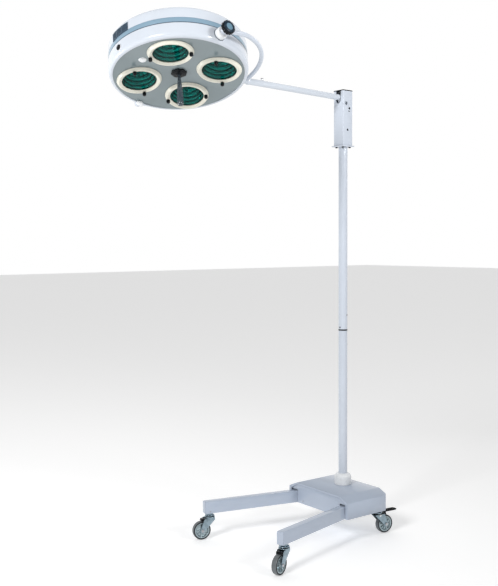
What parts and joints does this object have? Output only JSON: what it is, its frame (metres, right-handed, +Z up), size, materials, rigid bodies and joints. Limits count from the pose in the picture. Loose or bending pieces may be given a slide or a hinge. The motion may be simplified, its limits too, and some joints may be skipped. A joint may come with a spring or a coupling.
{
  "type": "surgical light",
  "caption": "Mobile surgical light: round reflector head in a half-ring yoke on a balanced arm, tall post and a weighted base with splayed legs on casters.",
  "frame": {"origin": "on the floor, under the middle of the whole light at rest", "axes": "+Z up, +X the way that the legs and the arm point, +Y the tilt knob's side"},
  "size_m": [1.2383, 0.6039, 1.9929],
  "materials": {
    "base_enamel": "semi-gloss",
    "post_enamel": "semi-gloss",
    "head_enamel": "gloss",
    "cover_enamel": "satin",
    "white_plastic": "gloss",
    "ivory_plastic": "satin",
    "black_plastic": "satin",
    "wheel_plastic": "satin",
    "vent_plastic": "matt",
    "tyre": "matt",
    "zinc": "bright zinc plate",
    "inner_steel": "plain",
    "cast_iron": "painted",
    "reflector_mirror": "bright",
    "grip_plastic": "smoky",
    "filter_glass": "clear green"
  },
  "bodies": {
    "base": {"base_cover": "base_enamel", "front_plate": "base_enamel", "bottom_plate": "base_enamel", "counterweight": "cast_iron", "transformer": "inner_steel", "leg_left": "base_enamel", "leg_right": "base_enamel", "rear_beam": "base_enamel", "post_socket": "inner_steel", "post_collar": "white_plastic", "post_lower": "post_enamel", "post_joint": "black_plastic", "post_upper": "post_enamel", "cable_gland": "black_plastic"},
    "bracket": {"bracket_housing": "post_enamel", "bracket_flange": "post_enamel", "bracket_cap": "black_plastic", "pivot_pin": "inner_steel", "balance_spring": "inner_steel"},
    "spring_rod": {"spring_rod": "inner_steel"},
    "arm": {"arm": "post_enamel", "arm_stud": "white_plastic"},
    "yoke": {"yoke_socket": "post_enamel", "yoke": "post_enamel"},
    "head": {"top_cover": "head_enamel", "lower_ring": "head_enamel", "reflector_cover": "cover_enamel", "vent_grille": "vent_plastic", "boss_left": "white_plastic", "boss_right": "white_plastic", "centre_hub": "black_plastic", "bezel_front_left": "ivory_plastic", "filter_front_left": "filter_glass", "reflector_front_left": "reflector_mirror", "bezel_front_right": "ivory_plastic", "filter_front_right": "filter_glass", "reflector_front_right": "reflector_mirror", "bezel_rear_left": "ivory_plastic", "filter_rear_left": "filter_glass", "reflector_rear_left": "reflector_mirror", "bezel_rear_right": "ivory_plastic", "filter_rear_right": "filter_glass", "reflector_rear_right": "reflector_mirror"},
    "knob": {"tilt_knob": "black_plastic"},
    "handle": {"handle": "grip_plastic"},
    "switch": {"head_switch": "black_plastic"},
    "caster_front_left": {"fork_front_left": "zinc"},
    "wheel_front_left": {"wheel_front_left": "wheel_plastic", "tyre_front_left": "tyre"},
    "caster_front_right": {"fork_front_right": "zinc"},
    "wheel_front_right": {"wheel_front_right": "wheel_plastic", "tyre_front_right": "tyre"},
    "caster_rear_left": {"fork_rear_left": "zinc"},
    "wheel_rear_left": {"wheel_rear_left": "wheel_plastic", "tyre_rear_left": "tyre"},
    "brake_rear_left": {"brake_rear_left": "black_plastic"},
    "caster_rear_right": {"fork_rear_right": "zinc"},
    "wheel_rear_right": {"wheel_rear_right": "wheel_plastic", "tyre_rear_right": "tyre"},
    "brake_rear_right": {"brake_rear_right": "black_plastic"}
  },
  "joints": [
    {"name": "swivel_front_left", "type": "hinge", "parent": "base", "child": "caster_front_left", "pos_m": [0.061, 0.209, 0.095], "axis": [0, 0, 1], "continuous": true},
    {"name": "spin_front_left", "type": "hinge", "parent": "caster_front_left", "child": "wheel_front_left", "pos_m": [0.09483, 0.22131, 0.0375], "axis": [-0.342, 0.9397, 0], "continuous": true},
    {"name": "swivel_front_right", "type": "hinge", "parent": "base", "child": "caster_front_right", "pos_m": [0.061, -0.273, 0.095], "axis": [0, 0, 1], "continuous": true},
    {"name": "spin_front_right", "type": "hinge", "parent": "caster_front_right", "child": "wheel_front_right", "pos_m": [0.09593, -0.28171, 0.0375], "axis": [0.2419, 0.9703, 0], "continuous": true},
    {"name": "swivel_rear_left", "type": "hinge", "parent": "base", "child": "caster_rear_left", "pos_m": [-0.52, 0.1066, 0.095], "axis": [0, 0, 1], "continuous": true},
    {"name": "spin_rear_left", "type": "hinge", "parent": "caster_rear_left", "child": "wheel_rear_left", "pos_m": [-0.55573, 0.11099, 0.0375], "axis": [-0.1219, -0.9925, 0], "continuous": true},
    {"name": "brake_press_rear_left", "type": "hinge", "parent": "caster_rear_left", "child": "brake_rear_left", "pos_m": [-0.54581, 0.10977, 0.092], "axis": [-0.1219, -0.9925, 0], "range_deg": [0, 8]},
    {"name": "swivel_rear_right", "type": "hinge", "parent": "base", "child": "caster_rear_right", "pos_m": [-0.52, -0.1706, 0.095], "axis": [0, 0, 1], "continuous": true},
    {"name": "spin_rear_right", "type": "hinge", "parent": "caster_rear_right", "child": "wheel_rear_right", "pos_m": [-0.55573, -0.17499, 0.0375], "axis": [0.1219, -0.9925, 0], "continuous": true},
    {"name": "brake_press_rear_right", "type": "hinge", "parent": "caster_rear_right", "child": "brake_rear_right", "pos_m": [-0.54581, -0.17377, 0.092], "axis": [0.1219, -0.9925, 0], "range_deg": [0, 8]},
    {"name": "bracket_swivel", "type": "hinge", "parent": "base", "child": "bracket", "pos_m": [-0.456, -0.032, 1.601], "axis": [0, 0, 1], "continuous": true},
    {"name": "arm_pitch", "type": "hinge", "parent": "bracket", "child": "arm", "pos_m": [-0.44601, -0.03155, 1.7765], "axis": [-0.0454, 0.999, 0], "range_deg": [-20, 20]},
    {"name": "rod_slide", "type": "slide", "parent": "bracket", "child": "spring_rod", "axis": [0, 0, 1], "range_m": [-0.0075, 0.0075], "deforming": ["balance_spring"]},
    {"name": "yoke_roll", "type": "hinge", "parent": "arm", "child": "yoke", "pos_m": [0.06756, -0.00822, 1.81587], "axis": [0.9986, 0.0453, 0.0279], "range_deg": [-110, 70]},
    {"name": "head_tilt", "type": "hinge", "parent": "yoke", "child": "head", "pos_m": [0.36913, 0.00547, 1.8243], "axis": [-0.0519, 0.9464, 0.3188], "range_deg": [-60, 100]},
    {"name": "knob_turn", "type": "hinge", "parent": "yoke", "child": "knob", "pos_m": [0.35357, 0.28939, 1.91995], "axis": [-0.0519, 0.9464, 0.3188], "range_deg": [0, 180]},
    {"name": "handle_turn", "type": "hinge", "parent": "head", "child": "handle", "pos_m": [0.37354, 0.01393, 1.7999], "axis": [0.168, 0.323, -0.9314], "range_deg": [-90, 90]},
    {"name": "switch_rock", "type": "hinge", "parent": "head", "child": "switch", "pos_m": [0.61262, 0.01224, 1.86822], "axis": [-0.168, -0.323, 0.9314], "range_deg": [-4, 4]}
  ],
  "couplings": [
    {"joint": "rod_slide", "follows": "arm_pitch", "m_per_rad": 0.02}
  ]
}
